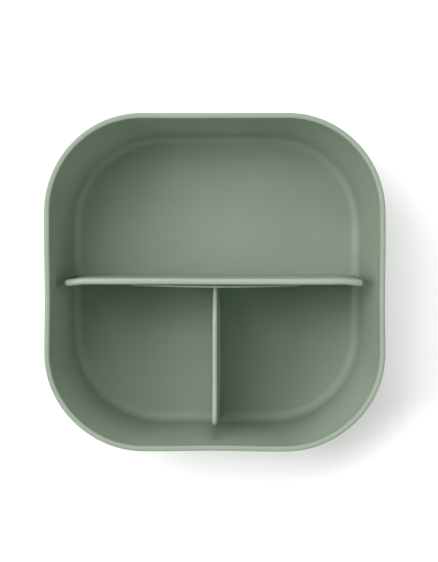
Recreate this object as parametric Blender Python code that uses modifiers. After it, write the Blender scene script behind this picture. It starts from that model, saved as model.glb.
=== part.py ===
"""Square suction bowl in soft silicone, with a long and a short lift-out divider.

Metres, +Z up. The origin is on the table, under the middle of the bowl. +Y points to the large
compartment and -Y to the two small ones, where the release tab is.
"""

import math

import bmesh
import bpy
from mathutils import Matrix, Vector

# ---------------------------------------------------------------- driving dimensions
RIM_WIDTH = 0.150          # outside, left to right
RIM_DEPTH = 0.1488         # outside, front to back: the dividers push the side walls out a little
HEIGHT = 0.058             # table to rim
CORNER = 0.0433            # outside radius of the rim's corners
WALL = 0.0025              # thickness of the silicone
RIM_ROUND = 0.0009         # radius of the rim's two edges, with a narrow flat between them
WALL_FOOT_HALF = 0.0658    # half width of the inside where the wall meets the floor's fillet
FILLET = 0.0047            # inside radius between the wall and the floor
FLOOR = 0.0105             # height of the inside floor
GAP = 0.0003               # left between pieces that touch

FOOT_HALF = 0.0560         # half width of the bowl's foot ring, outside
FOOT_WALL = 0.0030
FOOT_BOTTOM = 0.0054
FOOT_EDGE = 0.0006         # chamfer of its two lower edges

PLATE_TOP = FOOT_BOTTOM - GAP
PLATE_BOTTOM = 0.0032      # roof of the suction chamber
CHAMBER_HALF = 0.0534      # half width of the chamber's flat roof
COLLAR_WALL = 0.0024       # the suction base's collar, inside the foot ring
COLLAR_TOP = 0.0076
COLLAR_EDGE = 0.0006       # chamfer of its two upper edges
SKIRT_SHOULDER = 0.0012    # how far the plate's top stands out past the foot ring
SKIRT_HALF = 0.0625        # half width over the suction lip
LIP_EDGE = 0.0006          # radius of the lip's rounded outer edge
LIP_WIDTH = 0.0014         # flat band of the lip that lies on the table
SEAL_RIB_HALF = 0.0500     # half width of the second sealing rib, inside the chamber
SEAL_RIB_FOOT = 0.0008     # half thickness where it leaves the roof
SEAL_RIB_DEPTH = 0.0012

LONG_TOP = 0.0565          # height of the long divider's top edge
LONG_HALF = 0.0665         # half length at the top
LONG_FRONT = 0.00110       # from the middle of the bowl to the long divider's front face
LONG_CROWN = 0.00142       # half thickness at the top edge
LONG_BASE = 0.00155        # half thickness at the floor: only the back face is drafted
LONG_NOSE = 0.0010         # length of its rounded ends
LONG_SHOULDER = 0.0620     # radius of its shoulders
LONG_SHOULDER_LENGTH = 0.0270
LONG_BEND_LENGTH = 0.0102  # the ends lean and bend over this length
LONG_END_BEND = 0.0009     # how far the ends turn to the front
LONG_END_LEAN = 0.0022     # the ends lean outwards by this much from foot to top
LONG_OFFSET = -0.0004      # it stands this far from the middle, to the left
CROWN_FLATNESS = 0.75      # height of a blade's rounded top edge, as a share of its half thickness

SHORT_TOP = 0.0547
SHORT_REACH = 0.0636       # from the middle of the bowl to the short divider's front end
SHORT_CROWN = 0.00100
SHORT_BASE = 0.00200
SHORT_NOSE = 0.0012
SHORT_CORNER = 0.0040      # radius of its top corner at the front wall
SHORT_DIP = 0.0068         # its top edge dips by this much where it meets the flange
SHORT_DIP_END = 0.0185     # and is straight again this far from the middle of the bowl
SHORT_NECK = 0.70          # it is thinned at the flange to this share of its thickness
FLANGE_TOP = 0.0522        # crown of the flange's arch
FLANGE_SIDE = 0.0312       # height of the arch at its two sides
FLANGE_HALF = 0.0385       # half width of the flange
FLANGE_THICKNESS = 0.0011

TAB_WIDTH = 0.0200
TAB_LENGTH = 0.0100
TAB_THICKNESS = 0.0018
TAB_CORNER = 0.0042        # radius of the two corners at its tip
TAB_BEAD = 0.0013          # radius of the bead that the finger catches
TAB_BEAD_INSET = 0.0012    # from the tip's edge to the middle of the bead

# ---------------------------------------------------------------- fineness of the curves
CORNER_STEPS = 14
FILLET_STEPS = 6
RIM_STEPS = 4
SKIRT_STEPS = 4
CROWN_STEPS = 8
SIDE_STEPS = 4
NOSE_STEPS = 5
NOSE_END_DEG = 82          # the flat left at the very end of a rounded nose
LONG_STATIONS = 40
FLANGE_STATIONS = 24
SHORT_STATIONS = 16
SHORT_CORNER_STATIONS = 6
ROD_SEGMENTS = 16

SAGE = (0.206, 0.250, 0.198)
SILICONE_ROUGHNESS = 0.55
SMOOTH_BELOW_DEG = 40

RIM_HALF_X = RIM_WIDTH / 2
RIM_HALF_Y = RIM_DEPTH / 2
RIM_BULGE = RIM_HALF_X - RIM_HALF_Y
RIM_CENTRE_Z = HEIGHT - RIM_ROUND
FLOOR_UNDERSIDE = FLOOR - WALL


# ---------------------------------------------------------------- scene and objects
def clear_scene():
    for old in list(bpy.data.objects):
        bpy.data.objects.remove(old)


def new_collection(name):
    collection = bpy.data.collections.new(name)
    bpy.context.scene.collection.children.link(collection)
    return collection


def object_from(name, bm, collection):
    bmesh.ops.recalc_face_normals(bm, faces=bm.faces)
    mesh = bpy.data.meshes.new(name)
    bm.to_mesh(mesh)
    bm.free()
    mesh.shade_smooth()
    mesh.set_sharp_from_angle(angle=math.radians(SMOOTH_BELOW_DEG))
    obj = bpy.data.objects.new(name, mesh)
    collection.objects.link(obj)
    return obj


def give_silicone(obj):
    """A material of its own for every piece, so each can be coloured by itself."""
    material = bpy.data.materials.new(obj.name)
    material.use_nodes = True
    shader = material.node_tree.nodes["Principled BSDF"]
    shader.inputs["Base Color"].default_value = (*SAGE, 1.0)
    shader.inputs["Roughness"].default_value = SILICONE_ROUGHNESS
    shader.inputs["Metallic"].default_value = 0.0
    material.diffuse_color = (*SAGE, 1.0)
    obj.data.materials.clear()
    obj.data.materials.append(material)


def move_origin(obj, point):
    """Puts the object's origin on its joint without moving its shape."""
    obj.data.transform(Matrix.Translation(-Vector(point)))
    obj.location = point


def union(target, other, cutters):
    for collection in list(other.users_collection):
        collection.objects.unlink(other)
    cutters.objects.link(other)
    other.hide_render = True
    other.display_type = "WIRE"
    joined = target.modifiers.new("join_" + other.name, "BOOLEAN")
    joined.operation = "UNION"
    joined.solver = "EXACT"
    joined.object = other


# ---------------------------------------------------------------- curves and profiles
def smooth_step(value, start, end):
    t = min(max((value - start) / (end - start), 0.0), 1.0)
    return t * t * (3.0 - 2.0 * t)


def arc(centre, radius, start_deg, end_deg, steps):
    """Points of an arc in a cross-section, as (distance from the middle, height)."""
    points = []
    for i in range(steps + 1):
        a = math.radians(start_deg + (end_deg - start_deg) * i / steps)
        points.append((centre[0] + radius * math.cos(a), centre[1] + radius * math.sin(a)))
    return points


def drop_on_arc(distance, radius):
    """How far an arc has fallen at a distance from its crown."""
    return radius - math.sqrt(max(radius ** 2 - max(distance, 0.0) ** 2, 0.0))


def wall_slope():
    """Angle of the wall from vertical, in degrees."""
    fillet_top = FLOOR + FILLET
    return math.degrees(math.atan2(RIM_HALF_X - WALL - WALL_FOOT_HALF, RIM_CENTRE_Z - fillet_top))


def fillet_centre():
    """Centre that the inside and the outside fillets share, so the silicone keeps its thickness."""
    slope = math.radians(wall_slope())
    return (WALL_FOOT_HALF - FILLET * math.cos(slope), FLOOR + FILLET)


def front_squeeze(z):
    """How much narrower the bowl is from front to back than from side to side at the height z."""
    return RIM_BULGE * smooth_step(z, FLOOR, HEIGHT)


# ---------------------------------------------------------------- rounded-square lofts
def rounded_square(half, radius, z):
    """Ring of points of a rounded square, counter-clockwise from the front right corner."""
    half_y = half - front_squeeze(z)
    ring = []
    for corner in range(4):
        sign_x = (1, 1, -1, -1)[corner]
        sign_y = (-1, 1, 1, -1)[corner]
        for i in range(CORNER_STEPS + 1):
            a = math.radians(90 * (corner - 1) + 90 * i / CORNER_STEPS)
            x = sign_x * (half - radius) + radius * math.cos(a)
            y = sign_y * (half_y - radius) + radius * math.sin(a)
            ring.append(Vector((x, y, z)))
    return ring


def loft(rings):
    """Closed skin over rings that have the same number of points."""
    bm = bmesh.new()
    verts = [[bm.verts.new(point) for point in ring] for ring in rings]
    count = len(rings[0])
    for lower, upper in zip(verts, verts[1:]):
        for i in range(count):
            j = (i + 1) % count
            bm.faces.new((lower[i], lower[j], upper[j], upper[i]))
    bm.faces.new(list(reversed(verts[0])))
    bm.faces.new(verts[-1])
    return bm


def underside_ring(half, z):
    """Rounded square on the underside, concentric with the outline of the floor."""
    floor_half = fillet_centre()[0]
    floor_radius = CORNER - WALL - FILLET
    return rounded_square(half, floor_radius - (floor_half - half), z)


def make_bowl(parts):
    slope = wall_slope()
    centre = fillet_centre()
    rings = []

    for half, z in arc(centre, FILLET, -90, -slope, FILLET_STEPS):
        inset = WALL_FOOT_HALF - half
        rings.append(rounded_square(half, CORNER - WALL - inset, z))

    rim = arc((RIM_HALF_X - WALL + RIM_ROUND, RIM_CENTRE_Z), RIM_ROUND, 180, 90, RIM_STEPS)
    rim += arc((RIM_HALF_X - RIM_ROUND, RIM_CENTRE_Z), RIM_ROUND, 90, 0, RIM_STEPS)
    for half, z in rim:
        inset = RIM_HALF_X - half
        rings.append(rounded_square(half, CORNER - inset, z))

    outer_fillet = FILLET + WALL
    wall_foot_outside = centre[0] + outer_fillet * math.cos(math.radians(slope))
    for half, z in arc(centre, outer_fillet, -slope, -90, FILLET_STEPS):
        inset = wall_foot_outside - half
        rings.append(rounded_square(half, CORNER - inset, z))

    foot_inside = FOOT_HALF - FOOT_WALL
    foot_profile = [
        (FOOT_HALF, FLOOR_UNDERSIDE),
        (FOOT_HALF, FOOT_BOTTOM + FOOT_EDGE),
        (FOOT_HALF - FOOT_EDGE, FOOT_BOTTOM),
        (foot_inside + FOOT_EDGE, FOOT_BOTTOM),
        (foot_inside, FOOT_BOTTOM + FOOT_EDGE),
        (foot_inside, FLOOR_UNDERSIDE),
    ]
    for half, z in foot_profile:
        rings.append(underside_ring(half, z))

    bowl = object_from("bowl", loft(rings), parts)
    give_silicone(bowl)
    return bowl


# ---------------------------------------------------------------- suction base
def collar_profile():
    """The collar that the bowl's foot ring pushes over, from its inside to its outside."""
    outside = FOOT_HALF - FOOT_WALL - GAP
    inside = outside - COLLAR_WALL
    return [
        (inside, PLATE_TOP),
        (inside, COLLAR_TOP - COLLAR_EDGE),
        (inside + COLLAR_EDGE, COLLAR_TOP),
        (outside - COLLAR_EDGE, COLLAR_TOP),
        (outside, COLLAR_TOP - COLLAR_EDGE),
        (outside, PLATE_TOP),
    ]


def skirt_profile():
    """The bell-shaped skirt: down its outside, round its lip and up to the chamber's roof."""
    top_half = FOOT_HALF + SKIRT_SHOULDER
    lip_middle = SKIRT_HALF - LIP_EDGE
    lip_inside = lip_middle - LIP_WIDTH
    points = []
    for i in range(SKIRT_STEPS):
        t = i / SKIRT_STEPS
        height = 2 * LIP_EDGE + (PLATE_TOP - 2 * LIP_EDGE) * (1 - t) ** 2
        points.append((top_half + (lip_middle - top_half) * t, height))
    points += arc((lip_middle, LIP_EDGE), LIP_EDGE, 90, -90, SKIRT_STEPS)
    for i in range(SKIRT_STEPS + 1):
        t = i / SKIRT_STEPS
        height = PLATE_BOTTOM * (1 - (1 - t) ** 2)
        points.append((lip_inside - (lip_inside - CHAMBER_HALF) * t, height))
    return points


def seal_rib_profile():
    tip = SEAL_RIB_FOOT / 3
    return [
        (SEAL_RIB_HALF + SEAL_RIB_FOOT, PLATE_BOTTOM),
        (SEAL_RIB_HALF + tip, PLATE_BOTTOM - SEAL_RIB_DEPTH),
        (SEAL_RIB_HALF - tip, PLATE_BOTTOM - SEAL_RIB_DEPTH),
        (SEAL_RIB_HALF - SEAL_RIB_FOOT, PLATE_BOTTOM),
    ]


def make_suction_base(parts):
    profile = collar_profile() + skirt_profile() + seal_rib_profile()
    base = object_from("suction_base", loft([underside_ring(half, z) for half, z in profile]), parts)
    give_silicone(base)
    return base


# ---------------------------------------------------------------- upright blades
def crowned_section(station, bottom, top, half_at, shift_at):
    """Closed cross-section of a blade: drafted faces and a fully rounded top edge."""
    side_top = max(top - CROWN_FLATNESS * half_at(top), bottom + GAP)
    levels = [bottom + (side_top - bottom) * i / SIDE_STEPS for i in range(SIDE_STEPS + 1)]
    front = [Vector((station, shift_at(z) - half_at(z), z)) for z in levels]
    back = [Vector((station, shift_at(z) + half_at(z), z)) for z in reversed(levels)]
    middle = shift_at(side_top)
    radius = half_at(side_top)
    round_top = []
    for i in range(1, CROWN_STEPS):
        a = math.pi * (1 - i / CROWN_STEPS)
        z = side_top + (top - side_top) * math.sin(a)
        round_top.append(Vector((station, middle + radius * math.cos(a), z)))
    return front + round_top + back


def nose_places(straight, nose):
    """Places along a blade's rounded end, closer together towards its tip."""
    turns = [math.radians(NOSE_END_DEG * i / NOSE_STEPS) for i in range(1, NOSE_STEPS + 1)]
    return [straight + nose * math.sin(turn) for turn in turns]


def stations(half_length, nose, count):
    """Places along a blade that has a rounded nose at both ends."""
    straight = half_length - nose
    inner = [straight * (2 * i / count - 1) for i in range(count + 1)]
    tips = nose_places(straight, nose)
    return [-tip for tip in reversed(tips)] + inner + tips


def nose_factor(distance, half_length, nose):
    """Thickness of a blade near its rounded end, as a part of its full thickness."""
    into_nose = max(abs(distance) - (half_length - nose), 0.0)
    return math.sqrt(max(1 - (into_nose / nose) ** 2, 0.0))


def bottom_at(distance):
    """Underside of a piece that stands in the bowl, a gap above the floor, the fillet and the wall."""
    reach = abs(distance) + GAP
    centre_x, centre_z = fillet_centre()
    slope = math.radians(wall_slope())
    wall_x = centre_x + FILLET * math.cos(slope)
    if reach <= centre_x:
        return FLOOR + GAP
    if reach <= wall_x:
        return centre_z - math.sqrt(FILLET ** 2 - (reach - centre_x) ** 2) + GAP
    return centre_z - FILLET * math.sin(slope) + (reach - wall_x) / math.tan(slope) + GAP


def draft(z, top, crown, base):
    """Half thickness of a drafted blade at the height z."""
    return base + (crown - base) * (z - FLOOR) / (top - FLOOR)


def long_half(z):
    return draft(z, LONG_TOP, LONG_CROWN, LONG_BASE)


def long_shift(x, z):
    """Middle of the long divider's thickness: its front face is upright, apart from its bent ends."""
    bend_start = LONG_HALF - LONG_BEND_LENGTH
    bend = LONG_END_BEND * smooth_step(abs(x), bend_start, LONG_HALF)
    return long_half(z) - LONG_FRONT - bend * smooth_step(z, FLOOR, FLOOR + FILLET)


def leaned(x, z):
    """A station of the long divider, drawn in near the floor so that its ends lean outwards."""
    end_share = smooth_step(abs(x), LONG_HALF - LONG_BEND_LENGTH, LONG_HALF)
    lean = LONG_END_LEAN * (1 - smooth_step(z, FLOOR, LONG_TOP)) * end_share
    return x - math.copysign(lean, x) + LONG_OFFSET


def make_long_divider(parts):
    shoulder_start = LONG_HALF - LONG_SHOULDER_LENGTH
    rings = []
    for x in stations(LONG_HALF, LONG_NOSE, LONG_STATIONS):
        factor = nose_factor(x, LONG_HALF, LONG_NOSE)
        top = LONG_TOP - drop_on_arc(abs(x) - shoulder_start, LONG_SHOULDER)
        section = crowned_section(
            x, bottom_at(leaned(x, FLOOR)), top - CROWN_FLATNESS * LONG_CROWN * (1 - factor),
            lambda z: factor * long_half(z),
            lambda z: long_shift(x, z))
        rings.append([Vector((leaned(x, point.z), point.y, point.z)) for point in section])
    divider = object_from("long_divider", loft(rings), parts)
    give_silicone(divider)
    return divider


def make_flange(parts):
    """Arched plate that lies against the front of the long divider."""
    rise = FLANGE_TOP - FLANGE_SIDE
    arch_radius = (FLANGE_HALF ** 2 + rise ** 2) / (2 * rise)
    half = FLANGE_THICKNESS / 2
    middle_y = -LONG_FRONT - GAP - half
    rings = []
    for x in stations(FLANGE_HALF, half, FLANGE_STATIONS):
        factor = nose_factor(x, FLANGE_HALF, half)
        rings.append(crowned_section(
            x, bottom_at(x), FLANGE_TOP - drop_on_arc(abs(x), arch_radius),
            lambda z: factor * half,
            lambda z: middle_y))
    return object_from("short_divider", loft(rings), parts)


def make_web(parts):
    """The blade that splits the front half, from inside the flange to the front wall."""
    start = LONG_FRONT + GAP + FLANGE_THICKNESS / 2
    corner_start = SHORT_REACH - SHORT_CORNER
    straight = SHORT_REACH - SHORT_NOSE
    places = [start + (corner_start - start) * i / SHORT_STATIONS for i in range(SHORT_STATIONS)]
    for i in range(SHORT_CORNER_STATIONS + 1):
        places.append(corner_start + (straight - corner_start) * i / SHORT_CORNER_STATIONS)
    places += nose_places(straight, SHORT_NOSE)

    rings = []
    for reach in places:
        factor = nose_factor(reach, SHORT_REACH, SHORT_NOSE)
        dip = 1 - smooth_step(reach, start, SHORT_DIP_END)
        factor *= 1 - (1 - SHORT_NECK) * dip
        top = SHORT_TOP - drop_on_arc(reach - corner_start, SHORT_CORNER) - SHORT_DIP * dip
        section = crowned_section(
            reach, bottom_at(reach + RIM_BULGE), top,
            lambda z: factor * draft(z, SHORT_TOP, SHORT_CROWN, SHORT_BASE),
            lambda z: 0.0)
        rings.append([Vector((point.y, -point.x, point.z)) for point in section])
    return object_from("short_divider_web", loft(rings), parts)


def make_short_divider(parts, cutters):
    divider = make_flange(parts)
    union(divider, make_web(parts), cutters)
    give_silicone(divider)
    return divider


# ---------------------------------------------------------------- release tab
def finger_bead(start, end, parts):
    """Straight rod with softened ends, across the tip of the tab."""
    bm = bmesh.new()
    turn = (end - start).to_track_quat("Z", "Y").to_matrix().to_4x4()
    bmesh.ops.create_cone(
        bm, cap_ends=True, segments=ROD_SEGMENTS, radius1=TAB_BEAD, radius2=TAB_BEAD,
        depth=(end - start).length, matrix=Matrix.Translation((start + end) / 2) @ turn)
    bead = object_from("finger_bead", bm, parts)
    rounded = bead.modifiers.new("round_ends", "BEVEL")
    rounded.width = TAB_BEAD / 2
    rounded.segments = 3
    rounded.limit_method = "ANGLE"
    rounded.angle_limit = math.radians(60)
    return bead


def tongue(hinge_y, hinge_z, parts):
    """Flat tongue with round edges, from the hinge to the tip."""
    edge = TAB_THICKNESS / 2
    half = TAB_WIDTH / 2 - edge
    tip_y = hinge_y - TAB_LENGTH + edge
    outline = [(half, hinge_y)]
    outline += arc((half - TAB_CORNER, tip_y + TAB_CORNER), TAB_CORNER, 0, -90, FILLET_STEPS)
    outline += arc((TAB_CORNER - half, tip_y + TAB_CORNER), TAB_CORNER, -90, -180, FILLET_STEPS)
    outline += [(-half, hinge_y)]

    flat = bpy.data.curves.new("release_tab", "CURVE")
    flat.dimensions = "2D"
    flat.fill_mode = "BOTH"
    flat.bevel_depth = edge
    flat.bevel_resolution = 2
    spline = flat.splines.new("POLY")
    spline.points.add(len(outline) - 1)
    for point, (x, y) in zip(spline.points, outline):
        point.co = (x, y, 0, 1)
    spline.use_cyclic_u = True

    curve = bpy.data.objects.new("release_tab_curve", flat)
    curve.location = (0, 0, hinge_z)
    parts.objects.link(curve)
    bpy.context.view_layer.update()
    evaluated = curve.evaluated_get(bpy.context.evaluated_depsgraph_get())
    mesh = bpy.data.meshes.new_from_object(evaluated)
    mesh.transform(curve.matrix_world)
    bpy.data.objects.remove(curve)
    bm = bmesh.new()
    bm.from_mesh(mesh)
    bmesh.ops.remove_doubles(bm, verts=bm.verts, dist=0.00001)
    return object_from("release_tab", bm, parts)


def make_release_tab(parts, cutters):
    edge = TAB_THICKNESS / 2
    hinge_y = -(SKIRT_HALF + GAP + edge)
    hinge_z = GAP + edge
    tab = tongue(hinge_y, hinge_z, parts)

    reach = TAB_WIDTH / 2 - TAB_CORNER
    bead_y = hinge_y - TAB_LENGTH + edge + TAB_BEAD_INSET
    bead_z = hinge_z + edge
    bead = finger_bead(Vector((-reach, bead_y, bead_z)), Vector((reach, bead_y, bead_z)), parts)
    union(tab, bead, cutters)
    give_silicone(tab)
    move_origin(tab, (0, hinge_y, hinge_z))
    return tab


# ---------------------------------------------------------------- the bowl, put together
def main():
    clear_scene()
    parts = new_collection("suction_bowl")
    cutters = new_collection("suction_bowl_guides")
    make_bowl(parts)
    make_suction_base(parts)
    make_long_divider(parts)
    make_short_divider(parts, cutters)
    make_release_tab(parts, cutters)


main()
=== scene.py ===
"""Looks of the square suction bowl: fine geometry, silicone, studio light and camera.

Metres, +Z up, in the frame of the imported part. +Y points to the large compartment.
"""

import math

import bmesh
import bpy
from mathutils import Matrix, Vector


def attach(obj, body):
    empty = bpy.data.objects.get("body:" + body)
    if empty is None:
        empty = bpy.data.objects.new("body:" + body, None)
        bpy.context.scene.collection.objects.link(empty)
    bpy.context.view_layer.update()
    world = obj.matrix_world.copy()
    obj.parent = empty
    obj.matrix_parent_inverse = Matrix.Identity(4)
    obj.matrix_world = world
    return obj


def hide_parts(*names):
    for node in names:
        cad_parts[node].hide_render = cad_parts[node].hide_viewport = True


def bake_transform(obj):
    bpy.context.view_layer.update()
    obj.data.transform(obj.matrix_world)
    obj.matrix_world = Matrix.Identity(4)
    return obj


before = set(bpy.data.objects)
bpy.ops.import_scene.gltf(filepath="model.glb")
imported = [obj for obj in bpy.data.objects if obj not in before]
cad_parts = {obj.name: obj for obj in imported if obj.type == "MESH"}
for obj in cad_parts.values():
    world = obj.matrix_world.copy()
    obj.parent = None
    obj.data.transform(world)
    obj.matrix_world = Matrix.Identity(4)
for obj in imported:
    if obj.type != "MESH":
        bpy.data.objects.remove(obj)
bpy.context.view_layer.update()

# ---------------------------------------------------------------- sizes of the real bowl
RIM_WIDTH = 0.150
RIM_DEPTH = 0.1488
HEIGHT = 0.058
CORNER = 0.0433
WALL = 0.0025
RIM_ROUND = 0.0009         # radius of the rim's two edges, with a narrow flat between them
WALL_FOOT_HALF = 0.0658
FILLET = 0.0047
FLOOR = 0.0105
GAP = 0.0003

FOOT_HALF = 0.0560
FOOT_WALL = 0.0030
FOOT_BOTTOM = 0.0054
FOOT_ROUND = 0.0008

PLATE_TOP = FOOT_BOTTOM - GAP
PLATE_BOTTOM = 0.0032
CHAMBER_HALF = 0.0534
COLLAR_WALL = 0.0024
COLLAR_TOP = 0.0076
COLLAR_ROUND = 0.0008
SKIRT_SHOULDER = 0.0012
SKIRT_HALF = 0.0625
LIP_EDGE = 0.0006
LIP_WIDTH = 0.0014
SEAL_RIB_HALF = 0.0500
SEAL_RIB_FOOT = 0.0008
SEAL_RIB_DEPTH = 0.0012
SEAL_RIB_POWER = 1.5       # above 1 the rib's sides curve in towards its edge
GATE_RADIUS = 0.0060       # shallow dimple that the moulding gate leaves in the chamber's roof
GATE_DEPTH = 0.0004
GATE_FLAT = 0.7            # the dimple is flat up to this share of its radius

LONG_TOP = 0.0565
LONG_HALF = 0.0665
LONG_FRONT = 0.00110       # from the middle of the bowl to the long divider's front face
LONG_CROWN = 0.00142
LONG_BASE = 0.00155
LONG_NOSE = 0.0014
LONG_SHOULDER = 0.0620
LONG_SHOULDER_LENGTH = 0.0270
LONG_BEND_LENGTH = 0.0102  # the ends lean and bend over this length
LONG_END_BEND = 0.0009
LONG_END_LEAN = 0.0022     # the ends lean outwards by this much from foot to top
LONG_OFFSET = -0.0004      # it stands this far from the middle, to the left

SHORT_TOP = 0.0547
SHORT_REACH = 0.0636
SHORT_CROWN = 0.00100
SHORT_BASE = 0.00200
SHORT_NOSE = 0.0012
SHORT_CORNER = 0.0040
SHORT_DIP = 0.0068         # its top edge dips by this much where it meets the flange
SHORT_DIP_END = 0.0185     # the dip ends this far from the middle of the bowl
SHORT_NECK = 0.70          # where it dips, it is thinned to this share of its thickness
FLANGE_TOP = 0.0522
FLANGE_SIDE = 0.0312
FLANGE_HALF = 0.0385
FLANGE_THICKNESS = 0.0011
WEB_FILLET = 0.0010        # radius in the corner between the short divider and its flange
BLADE_FOOT_ROUND = 0.0006
BLADE_FOOT_LIMIT = 0.9     # largest share of a blade's half thickness that its foot is rounded by
CROWN_FLATNESS = 0.75      # height of a blade's rounded top edge, as a share of its half thickness

TAB_WIDTH = 0.0200
TAB_LENGTH = 0.0100
TAB_THICKNESS = 0.0018
TAB_CORNER = 0.0042
TAB_BEAD = 0.0013
TAB_BACK_ROUND = 0.0003
TAB_RIB = 0.00035          # radius of the fine grip ribs
TAB_RIB_PITCH = 0.0011
TAB_RELIEF_POWER = 0.8     # 0.5 would make the bead and the ribs round, 1 makes them parabolas
NECK_HALF = 0.0088
NECK_THICKNESS = 0.0010
NECK_INTO_LIP = 0.0012     # the living hinge starts this far inside the suction lip
NECK_INTO_TAB = 0.0018     # and ends this far beyond the lip's edge
NECK_THINNING = 0.25       # share of its thickness that it loses halfway

# ---------------------------------------------------------------- fineness
CORNER_STEPS = 36
STRAIGHT_STEPS = 14
FILLET_STEPS = 14
WALL_STEPS = 12
RIM_STEPS = 10
EDGE_STEPS = 5
CROWN_STEPS = 18
SIDE_STEPS = 10
NOSE_STEPS = 10
NOSE_END_DEG = 86
LONG_STATIONS = 150
FLANGE_STATIONS = 90
SHORT_STATIONS = 70
TAB_CORNER_STEPS = 24
TAB_SIDE_STEPS = 36
TAB_TOP_STEPS = 52
NECK_STEPS = 12
NECK_SIDES = 24
COVER_SHARES = (0.86, 0.7, 0.52, 0.34, 0.18, 0.08, 0.02)    # rings that close a flat face
ROOF_SHARES = (0.9, 0.7, 0.5, 0.3, 0.2)
GATE_SHARES = (1.05, 1.0, 0.93, 0.85, 0.77, 0.7, 0.5, 0.25, 0.05)
TAB_BOTTOM_SHARES = (0.99, 0.5)
TAB_TOP_SHARE = 0.99       # the top's last ring is this share of the way to the tab's middle
SMOOTH_BELOW_DEG = 35

# ---------------------------------------------------------------- how soft the mouldings are
# Each wave is a rate, a phase and a height.
RIM_WAVES = (
    (8, -1.57, 0.00009),
    (9, 0.0, 0.00009),
    (3, 0.8, 0.00003),
    (5, 2.1, 0.00003))
RIM_DIP = (4, 1.2, 0.00010)
BLADE_WAVES = (
    (55, 0.4, 0.00007),
    (120, 1.7, 0.00003))

RIM_HALF_X = RIM_WIDTH / 2
RIM_BULGE = (RIM_WIDTH - RIM_DEPTH) / 2
RIM_CENTRE_Z = HEIGHT - RIM_ROUND
FLOOR_UNDERSIDE = FLOOR - WALL

# ---------------------------------------------------------------- colour, light and camera
SAGE = (0.2075, 0.250, 0.1995)
DIVIDER_SAGE = (0.239, 0.280, 0.231)
BASE_SHADE = 0.96          # the suction base is this share as light as the bowl
CLOUD_CONTRAST = 0.025
DUST_TINT = 1.10
DUST_GREY = 0.01
DUST_SHARE = 0.35
BOWL_ROUGHNESS = 0.56
INSERT_ROUGHNESS = 0.46
ROUGHNESS_SPREAD = 0.05
# Scales of the material's patterns, per metre, from the largest to the finest.
CLOUD_SCALE = 45.0
FLOW_SCALE = 70.0
SMUDGE_SCALE = 120.0
DUST_SCALE = 1400.0
GRAIN_SCALE = 2600.0

PAPER = 0.74
PAPER_SIZE = 4.0

# name, azimuth and elevation, energy, spread; all angles in degrees
LIGHTS = (
    ("key_upper_left", 150, 60, 1.38, 30),
    ("key_rear", 90, 60, 1.04, 30),
    ("key_left", 180, 38, 2.08, 30),
    ("upper_left", 140, 38, 0.51, 30),
    ("upper_left_low", 150, 18, 0.24, 30),
    ("rear", 100, 38, 0.46, 30),
    ("rear_low", 90, 18, 1.01, 30),
    ("front", 270, 38, 1.18, 30),
    ("front_left", 220, 38, 0.12, 30),
    ("front_right", 315, 38, 0.25, 30),
    ("right", 0, 37, 0.80, 30),
    ("right_wide", 0, 34, 0.76, 80))

CAMERA_POSITION = Vector((0.0201, 0.0321, HEIGHT + 1.0))
CAMERA_TARGET = Vector((0.0020, 0.0006, HEIGHT))
CAMERA_SENSOR = 36.0
CAMERA_LENS = 145.9

VIEW_GAMMA = 0.82
# The grade deepens red and blue in the darkest tones: curve, a dark level, that level deepened, and
# the level from which the curve is straight.
RED_GRADE = (0, 0.081, 0.0675, 0.262)
BLUE_GRADE = (2, 0.078, 0.0628, 0.272)


# ---------------------------------------------------------------- curves
def smooth_step(value, start, end):
    t = min(max((value - start) / (end - start), 0.0), 1.0)
    return t * t * (3.0 - 2.0 * t)


def arc(centre, radius, start_deg, end_deg, steps):
    points = []
    for i in range(steps + 1):
        a = math.radians(start_deg + (end_deg - start_deg) * i / steps)
        points.append((centre[0] + radius * math.cos(a), centre[1] + radius * math.sin(a)))
    return points


def line(start, end, steps):
    """Evenly spaced points strictly between two points."""
    points = []
    for i in range(1, steps):
        t = i / steps
        points.append((start[0] + (end[0] - start[0]) * t, start[1] + (end[1] - start[1]) * t))
    return points


def drop_on_arc(distance, radius):
    return radius - math.sqrt(max(radius ** 2 - max(distance, 0.0) ** 2, 0.0))


def wall_slope():
    """Angle of the wall from vertical, in degrees."""
    return math.degrees(math.atan2(RIM_HALF_X - WALL - WALL_FOOT_HALF, RIM_CENTRE_Z - FLOOR - FILLET))


def fillet_centre():
    slope = math.radians(wall_slope())
    return (WALL_FOOT_HALF - FILLET * math.cos(slope), FLOOR + FILLET)


def front_squeeze(z):
    return RIM_BULGE * smooth_step(z, FLOOR, HEIGHT)


def waves(value, table):
    return sum(height * math.sin(rate * value + phase) for rate, phase, height in table)


def blade_ripple(along, z):
    """How far a divider strays sideways, which grows from its foot up."""
    return waves(along, BLADE_WAVES) * smooth_step(z, FLOOR, LONG_TOP / 2)


# ---------------------------------------------------------------- meshes
def object_from(name, bm):
    bmesh.ops.recalc_face_normals(bm, faces=bm.faces)
    mesh = bpy.data.meshes.new(name)
    bm.to_mesh(mesh)
    bm.free()
    mesh.shade_smooth()
    mesh.set_sharp_from_angle(angle=math.radians(SMOOTH_BELOW_DEG))
    obj = bpy.data.objects.new(name, mesh)
    bpy.context.scene.collection.objects.link(obj)
    return obj


def loft(rings):
    """Closed skin over rings that have the same number of points."""
    bm = bmesh.new()
    verts = [[bm.verts.new(point) for point in ring] for ring in rings]
    count = len(rings[0])
    for lower, upper in zip(verts, verts[1:]):
        for i in range(count):
            j = (i + 1) % count
            bm.faces.new((lower[i], lower[j], upper[j], upper[i]))
    bm.faces.new(list(reversed(verts[0])))
    bm.faces.new(verts[-1])
    return bm


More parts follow.
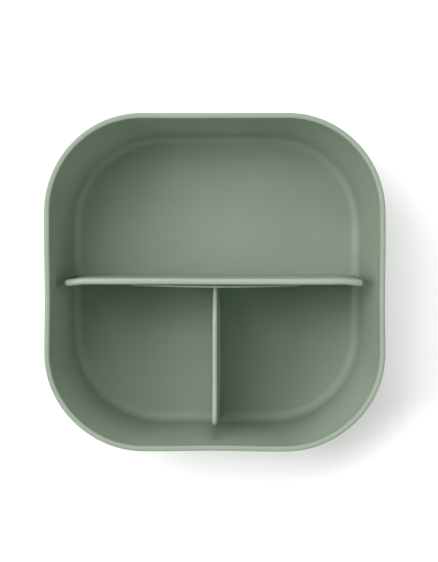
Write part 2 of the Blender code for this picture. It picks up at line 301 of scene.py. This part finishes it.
def baked(obj):
    """The object with its modifiers made into its mesh."""
    bpy.context.view_layer.update()
    evaluated = obj.evaluated_get(bpy.context.evaluated_depsgraph_get())
    mesh = bpy.data.meshes.new_from_object(evaluated)
    obj.modifiers.clear()
    obj.data = mesh
    return obj


def union(target, others):
    for other in others:
        joined = target.modifiers.new("join", "BOOLEAN")
        joined.operation = "UNION"
        joined.solver = "EXACT"
        joined.object = other
    baked(target)
    for other in others:
        bpy.data.objects.remove(other)
    target.data.shade_smooth()
    target.data.set_sharp_from_angle(angle=math.radians(SMOOTH_BELOW_DEG))
    return target


# ---------------------------------------------------------------- bowl and base
def rounded_square(half, radius, z, softness=0.0):
    """Ring of a rounded square with points along its straight sides; softness lets it waver."""
    half_y = half - front_squeeze(z)
    corners = []
    for corner in range(4):
        sign_x = (1, 1, -1, -1)[corner]
        sign_y = (-1, 1, 1, -1)[corner]
        middle = (sign_x * (half - radius), sign_y * (half_y - radius))
        corners.append(arc(middle, radius, 90 * (corner - 1), 90 * corner, CORNER_STEPS))
    outline = []
    for corner, following in zip(corners, corners[1:] + corners[:1]):
        outline += corner + line(corner[-1], following[0], STRAIGHT_STEPS)
    ring = []
    for x, y in outline:
        angle = math.atan2(y, x)
        out = softness * waves(angle, RIM_WAVES)
        rate, phase, height = RIM_DIP
        lift = softness * height * math.sin(rate * angle + phase)
        ring.append(Vector((x + out * math.cos(angle), y + out * math.sin(angle), z + lift)))
    return ring


def bowl_ring(half, radius, z):
    return rounded_square(half, radius, z, softness=smooth_step(z, FLOOR + FILLET, HEIGHT))


def underside_ring(half, z):
    floor_half = fillet_centre()[0]
    floor_radius = CORNER - WALL - FILLET
    radius = floor_radius - (floor_half - half)
    if radius < half / 3:
        radius = half / 3
    return rounded_square(half, radius, z)


def flat_cover(half, z):
    """Rings that close a rounded square towards its middle, at one height."""
    return [underside_ring(half * share, z) for share in COVER_SHARES]


def make_bowl():
    slope = wall_slope()
    centre = fillet_centre()
    rings = list(reversed(flat_cover(centre[0], FLOOR)))

    inside = arc(centre, FILLET, -90, -slope, FILLET_STEPS)
    rim = arc((RIM_HALF_X - WALL + RIM_ROUND, RIM_CENTRE_Z), RIM_ROUND, 180, 90, RIM_STEPS)
    rim += arc((RIM_HALF_X - RIM_ROUND, RIM_CENTRE_Z), RIM_ROUND, 90, 0, RIM_STEPS)
    outside = arc(centre, FILLET + WALL, -slope, -90, FILLET_STEPS)
    for half, z in inside + line(inside[-1], rim[0], WALL_STEPS):
        radius = CORNER - WALL
        if z < FLOOR + FILLET:
            radius -= WALL_FOOT_HALF - half
        rings.append(bowl_ring(half, radius, z))
    for half, z in rim:
        rings.append(bowl_ring(half, CORNER - (RIM_HALF_X - half), z))
    for half, z in line(rim[-1], outside[0], WALL_STEPS):
        rings.append(bowl_ring(half, CORNER, z))
    wall_foot_outside = outside[0][0]
    for half, z in outside:
        rings.append(bowl_ring(half, CORNER - (wall_foot_outside - half), z))

    foot_inside = FOOT_HALF - FOOT_WALL
    low = FOOT_BOTTOM + FOOT_ROUND
    foot = [(FOOT_HALF + FOOT_ROUND, FLOOR_UNDERSIDE)]
    foot += arc((FOOT_HALF + FOOT_ROUND, FLOOR_UNDERSIDE - FOOT_ROUND), FOOT_ROUND, 90, 180, EDGE_STEPS)
    foot += arc((FOOT_HALF - FOOT_ROUND, low), FOOT_ROUND, 0, -90, EDGE_STEPS)
    foot += arc((foot_inside + FOOT_ROUND, low), FOOT_ROUND, -90, -180, EDGE_STEPS)
    foot += arc((foot_inside - FOOT_ROUND, FLOOR_UNDERSIDE - FOOT_ROUND), FOOT_ROUND, 0, 90, EDGE_STEPS)
    rings += [underside_ring(half, z) for half, z in foot]
    rings += flat_cover(foot_inside - FOOT_ROUND, FLOOR_UNDERSIDE)
    return object_from("bowl_shell", loft(rings))


def gate_roof(half):
    """Height of the chamber's roof, with the gate's dimple in the middle."""
    return PLATE_BOTTOM + GATE_DEPTH * (1 - smooth_step(half, GATE_RADIUS * GATE_FLAT, GATE_RADIUS))


def make_base():
    outside = FOOT_HALF - FOOT_WALL - GAP
    inside = outside - COLLAR_WALL
    high = COLLAR_TOP - COLLAR_ROUND
    profile = [(inside, PLATE_TOP)]
    profile += arc((inside + COLLAR_ROUND, high), COLLAR_ROUND, 180, 90, EDGE_STEPS)
    profile += arc((outside - COLLAR_ROUND, high), COLLAR_ROUND, 90, 0, EDGE_STEPS)
    profile += [(outside, PLATE_TOP)]

    top_half = FOOT_HALF + SKIRT_SHOULDER
    lip_middle = SKIRT_HALF - LIP_EDGE
    lip_inside = lip_middle - LIP_WIDTH
    steps = WALL_STEPS
    for i in range(steps):
        t = i / steps
        height = 2 * LIP_EDGE + (PLATE_TOP - 2 * LIP_EDGE) * (1 - t) ** 2
        profile.append((top_half + (lip_middle - top_half) * t, height))
    profile += arc((lip_middle, LIP_EDGE), LIP_EDGE, 90, -90, 2 * EDGE_STEPS)
    for i in range(steps + 1):
        t = i / steps
        profile.append((lip_inside - (lip_inside - CHAMBER_HALF) * t, PLATE_BOTTOM * (1 - (1 - t) ** 2)))
    for i in range(steps + 1):
        across = SEAL_RIB_FOOT * (1 - 2 * i / steps)
        depth = SEAL_RIB_DEPTH * math.cos(math.pi / 2 * across / SEAL_RIB_FOOT) ** SEAL_RIB_POWER
        profile.append((SEAL_RIB_HALF + across, PLATE_BOTTOM - depth))

    rings = list(reversed(flat_cover(inside, PLATE_TOP)))
    rings += [underside_ring(half, z) for half, z in profile]
    roof = [SEAL_RIB_HALF * share for share in ROOF_SHARES]
    gate = [GATE_RADIUS * share for share in GATE_SHARES]
    rings += [underside_ring(half, gate_roof(half)) for half in roof + gate]
    return object_from("suction_cup", loft(rings))


# ---------------------------------------------------------------- dividers
def bottom_at(distance):
    """Underside of a piece that stands in the bowl, a gap above the floor, the fillet and the wall."""
    reach = abs(distance) + GAP
    centre_x, centre_z = fillet_centre()
    slope = math.radians(wall_slope())
    wall_x = centre_x + FILLET * math.cos(slope)
    if reach <= centre_x:
        return FLOOR + GAP
    if reach <= wall_x:
        return centre_z - math.sqrt(FILLET ** 2 - (reach - centre_x) ** 2) + GAP
    return centre_z - FILLET * math.sin(slope) + (reach - wall_x) / math.tan(slope) + GAP


def blade_section(station, bottom, top, half_at, shift_at):
    """Cross-section of a blade with a fully rounded top edge and softly rounded lower corners."""
    foot_half = half_at(bottom)
    foot = min(BLADE_FOOT_ROUND, foot_half * BLADE_FOOT_LIMIT)
    side_top = max(top - CROWN_FLATNESS * half_at(top), bottom + foot + GAP)
    side_bottom = bottom + foot
    points = []
    for a_start, side in ((-90, 1), (180, -1)):
        corner = []
        for i in range(EDGE_STEPS + 1):
            a = math.radians(a_start + 90 * i / EDGE_STEPS)
            y = shift_at(bottom) + side * (foot_half - foot) + foot * math.cos(a)
            corner.append(Vector((station, y, side_bottom + foot * math.sin(a))))
        tall = side_top - side_bottom
        levels = [side_bottom + tall * i / SIDE_STEPS for i in range(1, SIDE_STEPS + 1)]
        flank = [Vector((station, shift_at(z) + side * half_at(z), z)) for z in levels]
        if side == 1:
            points += corner + flank
            middle = shift_at(side_top)
            for i in range(1, CROWN_STEPS):
                a = math.pi * i / CROWN_STEPS
                z = side_top + (top - side_top) * math.sin(a)
                points.append(Vector((station, middle + half_at(side_top) * math.cos(a), z)))
        else:
            points += list(reversed(flank)) + corner
    return points


def nose_places(straight, nose):
    turns = [math.radians(NOSE_END_DEG * i / NOSE_STEPS) for i in range(1, NOSE_STEPS + 1)]
    return [straight + nose * math.sin(turn) for turn in turns]


def stations(half_length, nose, count):
    straight = half_length - nose
    inner = [straight * (2 * i / count - 1) for i in range(count + 1)]
    tips = nose_places(straight, nose)
    return [-tip for tip in reversed(tips)] + inner + tips


def nose_factor(distance, half_length, nose):
    into_nose = max(abs(distance) - (half_length - nose), 0.0)
    return math.sqrt(max(1 - (into_nose / nose) ** 2, 0.0))


def draft(z, top, crown, base):
    return base + (crown - base) * (z - FLOOR) / (top - FLOOR)


def long_half(z):
    return draft(z, LONG_TOP, LONG_CROWN, LONG_BASE)


def long_shift(x, z):
    end_share = smooth_step(abs(x), LONG_HALF - LONG_BEND_LENGTH, LONG_HALF)
    bend = LONG_END_BEND * end_share * smooth_step(z, FLOOR, FLOOR + FILLET)
    return long_half(z) - LONG_FRONT - bend - blade_ripple(x, z)


def leaned(x, z):
    """A station of the long divider, drawn in near the floor so that its ends lean outwards."""
    end_share = smooth_step(abs(x), LONG_HALF - LONG_BEND_LENGTH, LONG_HALF)
    lean = LONG_END_LEAN * (1 - smooth_step(z, FLOOR, LONG_TOP)) * end_share
    return x - math.copysign(lean, x) + LONG_OFFSET


def make_long_divider():
    shoulder_start = LONG_HALF - LONG_SHOULDER_LENGTH
    rings = []
    for x in stations(LONG_HALF, LONG_NOSE, LONG_STATIONS):
        factor = nose_factor(x, LONG_HALF, LONG_NOSE)
        top = LONG_TOP - drop_on_arc(abs(x) - shoulder_start, LONG_SHOULDER)
        top -= CROWN_FLATNESS * LONG_CROWN * (1 - factor)
        ring = blade_section(
            x, bottom_at(leaned(x, FLOOR)), top,
            lambda z: factor * long_half(z),
            lambda z: long_shift(x, z))
        rings.append([Vector((leaned(x, point.z), point.y, point.z)) for point in ring])
    return object_from("long_divider_blade", loft(rings))


def make_flange():
    rise = FLANGE_TOP - FLANGE_SIDE
    arch_radius = (FLANGE_HALF ** 2 + rise ** 2) / (2 * rise)
    half = FLANGE_THICKNESS / 2
    middle_y = -LONG_FRONT - GAP - half
    rings = []
    for x in stations(FLANGE_HALF, half, FLANGE_STATIONS):
        factor = nose_factor(x, FLANGE_HALF, half)
        rings.append(blade_section(
            x, bottom_at(x), FLANGE_TOP - drop_on_arc(abs(x), arch_radius),
            lambda z: factor * half,
            lambda z: middle_y - blade_ripple(x, z)))
    return object_from("short_divider_blade", loft(rings))


def make_web():
    flange_front = LONG_FRONT + GAP + FLANGE_THICKNESS
    start = flange_front - FLANGE_THICKNESS / 2
    corner_start = SHORT_REACH - SHORT_CORNER
    straight = SHORT_REACH - SHORT_NOSE
    fillet = [flange_front + WEB_FILLET * (1 - math.cos(math.radians(90 * i / NOSE_STEPS)))
              for i in range(NOSE_STEPS + 1)]
    places = [start] + fillet
    run = corner_start - fillet[-1]
    places += [fillet[-1] + run * i / SHORT_STATIONS for i in range(1, SHORT_STATIONS)]
    places += [corner_start + (straight - corner_start) * i / EDGE_STEPS for i in range(EDGE_STEPS + 1)]
    places += nose_places(straight, SHORT_NOSE)

    rings = []
    for reach in places:
        factor = nose_factor(reach, SHORT_REACH, SHORT_NOSE)
        near = min(max(reach - flange_front, 0.0), WEB_FILLET)
        flare = WEB_FILLET - math.sqrt(WEB_FILLET ** 2 - (WEB_FILLET - near) ** 2)
        top = SHORT_TOP - drop_on_arc(reach - corner_start, SHORT_CORNER)
        dip = 1 - smooth_step(reach, start, SHORT_DIP_END)
        factor *= 1 - (1 - SHORT_NECK) * dip
        top -= SHORT_DIP * dip
        section = blade_section(
            reach, bottom_at(reach + RIM_BULGE), top,
            lambda z: factor * draft(z, SHORT_TOP, SHORT_CROWN, SHORT_BASE) + flare,
            lambda z: blade_ripple(reach, z))
        rings.append([Vector((point.y, -point.x, point.z)) for point in section])
    return object_from("short_divider_web", loft(rings))


# ---------------------------------------------------------------- release tab
def tab_outline(inset):
    """Plan outline of the tongue, drawn in from its outer edge. It is round at the tip."""
    edge = TAB_THICKNESS / 2
    half = TAB_WIDTH / 2 - inset
    back = -(SKIRT_HALF + GAP) - inset
    tip = -(SKIRT_HALF + GAP + TAB_LENGTH + edge) + inset
    tip_round = TAB_CORNER + edge - inset
    back_round = TAB_BACK_ROUND + edge - inset
    arcs = [
        arc((half - tip_round, tip + tip_round), tip_round, 0, -90, TAB_CORNER_STEPS),
        arc((tip_round - half, tip + tip_round), tip_round, -90, -180, TAB_CORNER_STEPS),
        arc((back_round - half, back - back_round), back_round, 180, 90, EDGE_STEPS),
        arc((half - back_round, back - back_round), back_round, 90, 0, EDGE_STEPS)]
    outline = []
    for corner, following in zip(arcs, arcs[1:] + arcs[:1]):
        outline += corner + line(corner[-1], following[0], TAB_SIDE_STEPS)
    return outline


def tab_relief(x, y):
    """Height of the finger bead and the fine grip ribs above the tongue's flat top."""
    reach = TAB_WIDTH / 2 - TAB_CORNER
    bead_y = -(SKIRT_HALF + GAP + TAB_LENGTH) + TAB_BEAD
    ridges = [(bead_y, TAB_BEAD)]
    ridges += [(bead_y + TAB_BEAD + TAB_RIB_PITCH * row, TAB_RIB) for row in (1, 2, 3)]
    height = 0.0
    for middle, radius in ridges:
        away = math.hypot(max(abs(x) - reach, 0.0), y - middle) / radius
        height = max(height, radius * max(1 - away ** 2, 0.0) ** TAB_RELIEF_POWER)
    return height


def make_tab():
    edge = TAB_THICKNESS / 2
    middle_z = GAP + edge
    middle_y = -(SKIRT_HALF + GAP + TAB_LENGTH / 2)
    reach = TAB_WIDTH / 4

    def towards_middle(share):
        """Outline of the flat faces, shrunk by a share onto a line across the middle of the tongue."""
        points = []
        for x, y in tab_outline(edge):
            end_x = min(max(x, -reach), reach)
            points.append((x + (end_x - x) * share, y + (middle_y - y) * share))
        return points

    rings = []
    for share in TAB_BOTTOM_SHARES:
        rings.append([Vector((x, y, middle_z - edge)) for x, y in towards_middle(share)])
    for out, up in arc((0.0, 0.0), edge, -90, 90, 2 * RIM_STEPS):
        rings.append([Vector((x, y, middle_z + up)) for x, y in tab_outline(edge - out)])
    for i in range(1, TAB_TOP_STEPS + 1):
        top = towards_middle(TAB_TOP_SHARE * i / TAB_TOP_STEPS)
        rings.append([Vector((x, y, middle_z + edge + tab_relief(x, y))) for x, y in top])
    return object_from("release_tab_tongue", loft(rings))


def make_neck():
    """Thin living hinge from the suction lip to the tab: a plate with round sides, thinnest halfway."""
    edge = NECK_THICKNESS / 2
    start = -(SKIRT_HALF - NECK_INTO_LIP)
    end = -(SKIRT_HALF + NECK_INTO_TAB)
    rings = []
    for i in range(NECK_STEPS + 1):
        y = start + (end - start) * i / NECK_STEPS
        thin = 1 - NECK_THINNING * math.sin(math.pi * i / NECK_STEPS)
        ring = []
        for k in range(NECK_SIDES):
            a = 2 * math.pi * k / NECK_SIDES
            x = math.copysign(NECK_HALF - edge, math.cos(a)) + edge * math.cos(a)
            ring.append(Vector((x, y, GAP + TAB_THICKNESS / 2 + edge * thin * math.sin(a))))
        rings.append(ring)
    return object_from("tab_neck", loft(rings))


# ---------------------------------------------------------------- silicone
def silicone(name, tint, roughness, seed):
    """Matte, food-safe silicone: faint clouds in its colour, a fine moulded grain and a dusty sheen."""
    material = bpy.data.materials.new(name)
    material.use_nodes = True
    nodes = material.node_tree.nodes
    links = material.node_tree.links
    shader = nodes["Principled BSDF"]
    place = nodes.new("ShaderNodeTexCoord")
    move = nodes.new("ShaderNodeMapping")
    move.inputs["Location"].default_value = (seed, seed * 0.7, seed * 0.3)
    links.new(place.outputs["Object"], move.inputs["Vector"])

    def noise(scale, detail):
        node = nodes.new("ShaderNodeTexNoise")
        node.inputs["Scale"].default_value = scale
        node.inputs["Detail"].default_value = detail
        links.new(move.outputs["Vector"], node.inputs["Vector"])
        return node.outputs["Fac"]

    def mapped(value, low, high):
        node = nodes.new("ShaderNodeMapRange")
        node.inputs["From Min"].default_value = 0.3
        node.inputs["From Max"].default_value = 0.7
        node.inputs["To Min"].default_value = low
        node.inputs["To Max"].default_value = high
        links.new(value, node.inputs["Value"])
        return node.outputs["Result"]

    clouds = mapped(noise(CLOUD_SCALE, 3.0), 0.0, 1.0)
    colour = nodes.new("ShaderNodeMix")
    colour.data_type = "RGBA"
    colour.inputs["A"].default_value = (*(channel * (1 - CLOUD_CONTRAST) for channel in tint), 1.0)
    colour.inputs["B"].default_value = (*(channel * (1 + CLOUD_CONTRAST) for channel in tint), 1.0)
    links.new(clouds, colour.inputs["Factor"])
    dust = nodes.new("ShaderNodeMix")
    dust.data_type = "RGBA"
    dust.inputs["B"].default_value = (*(channel * DUST_TINT + DUST_GREY for channel in tint), 1.0)
    links.new(colour.outputs["Result"], dust.inputs["A"])
    speck = nodes.new("ShaderNodeMapRange")
    speck.inputs["From Min"].default_value = 0.66
    speck.inputs["From Max"].default_value = 0.78
    speck.inputs["To Max"].default_value = DUST_SHARE
    links.new(noise(DUST_SCALE, 2.0), speck.inputs["Value"])
    links.new(speck.outputs["Result"], dust.inputs["Factor"])
    links.new(dust.outputs["Result"], shader.inputs["Base Color"])

    smudges = mapped(noise(SMUDGE_SCALE, 4.0), roughness - ROUGHNESS_SPREAD, roughness + ROUGHNESS_SPREAD)
    links.new(smudges, shader.inputs["Roughness"])

    grain = nodes.new("ShaderNodeBump")
    grain.inputs["Strength"].default_value = 0.10
    grain.inputs["Distance"].default_value = 0.00004
    links.new(noise(GRAIN_SCALE, 3.0), grain.inputs["Height"])
    flow = nodes.new("ShaderNodeBump")
    flow.inputs["Strength"].default_value = 0.12
    flow.inputs["Distance"].default_value = 0.0002
    links.new(noise(FLOW_SCALE, 2.0), flow.inputs["Height"])
    links.new(grain.outputs["Normal"], flow.inputs["Normal"])
    links.new(flow.outputs["Normal"], shader.inputs["Normal"])

    shader.inputs["IOR"].default_value = 1.41
    shader.inputs["Sheen Weight"].default_value = 0.06
    shader.inputs["Sheen Roughness"].default_value = 0.5
    material.diffuse_color = (*tint, 1.0)
    return material


def dress(obj, material, body, node):
    obj.data.materials.clear()
    obj.data.materials.append(material)
    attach(obj, body)
    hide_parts(node)


bowl_silicone = silicone("bowl_silicone", SAGE, BOWL_ROUGHNESS, 0.0)
divider_silicone = silicone("divider_silicone", DIVIDER_SAGE, INSERT_ROUGHNESS, 3.1)
base_sage = tuple(channel * BASE_SHADE for channel in SAGE)
base_silicone = silicone("base_silicone", base_sage, INSERT_ROUGHNESS, 7.7)

dress(make_bowl(), bowl_silicone, "bowl", "bowl")
dress(make_base(), base_silicone, "suction_base", "suction_base")
dress(make_long_divider(), divider_silicone, "long_divider", "long_divider")
short_divider = union(make_flange(), [make_web()])
dress(short_divider, divider_silicone, "short_divider", "short_divider")
dress(make_tab(), base_silicone, "release_tab", "release_tab")

neck = make_neck()
neck.data.materials.append(base_silicone)
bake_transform(neck)


# ---------------------------------------------------------------- floor, light and camera
def make_floor():
    bm = bmesh.new()
    bmesh.ops.create_grid(bm, x_segments=1, y_segments=1, size=PAPER_SIZE)
    floor = object_from("studio_floor", bm)
    material = bpy.data.materials.new("studio_paper")
    material.use_nodes = True
    shader = material.node_tree.nodes["Principled BSDF"]
    shader.inputs["Base Color"].default_value = (PAPER, PAPER, PAPER, 1.0)
    shader.inputs["Roughness"].default_value = 0.8
    floor.data.materials.append(material)


def soft_light(name, azimuth, elevation, energy, spread):
    """Wide, far light. Azimuth is counter-clockwise from +X, in degrees."""
    data = bpy.data.lights.new(name, "SUN")
    data.energy = energy
    data.angle = math.radians(spread)
    lamp = bpy.data.objects.new(name, data)
    bpy.context.scene.collection.objects.link(lamp)
    a = math.radians(azimuth)
    e = math.radians(elevation)
    towards = Vector((math.cos(a) * math.cos(e), math.sin(a) * math.cos(e), math.sin(e)))
    lamp.rotation_euler = towards.to_track_quat("Z", "Y").to_euler()
    lamp.location = towards


def make_camera():
    """Camera above the bowl, with +Y up in the picture."""
    place = CAMERA_POSITION
    z = (place - CAMERA_TARGET).normalized()
    x = Vector((0, 1, 0)).cross(z).normalized()
    y = z.cross(x)
    data = bpy.data.cameras.new("camera")
    data.sensor_width = CAMERA_SENSOR
    data.lens = CAMERA_LENS
    camera = bpy.data.objects.new("camera", data)
    camera.matrix_world = Matrix((
        (x.x, y.x, z.x, place.x),
        (x.y, y.y, z.y, place.y),
        (x.z, y.z, z.z, place.z),
        (0, 0, 0, 1)))
    bpy.context.scene.collection.objects.link(camera)
    bpy.context.scene.camera = camera


make_floor()
for light in LIGHTS:
    soft_light(*light)
make_camera()

scene = bpy.context.scene
view = scene.view_settings
view.view_transform = "Standard"
view.gamma = VIEW_GAMMA
view.use_curve_mapping = True
for curve, dark, deepened, straight_from in (RED_GRADE, BLUE_GRADE):
    points = view.curve_mapping.curves[curve].points
    points.new(dark, deepened)
    points.new(straight_from, straight_from)
    for point in points:
        point.handle_type = "VECTOR"
view.curve_mapping.update()
world = bpy.data.worlds.new("dark_studio")
world.use_nodes = True
world.node_tree.nodes["Background"].inputs["Strength"].default_value = 0.0
scene.world = world
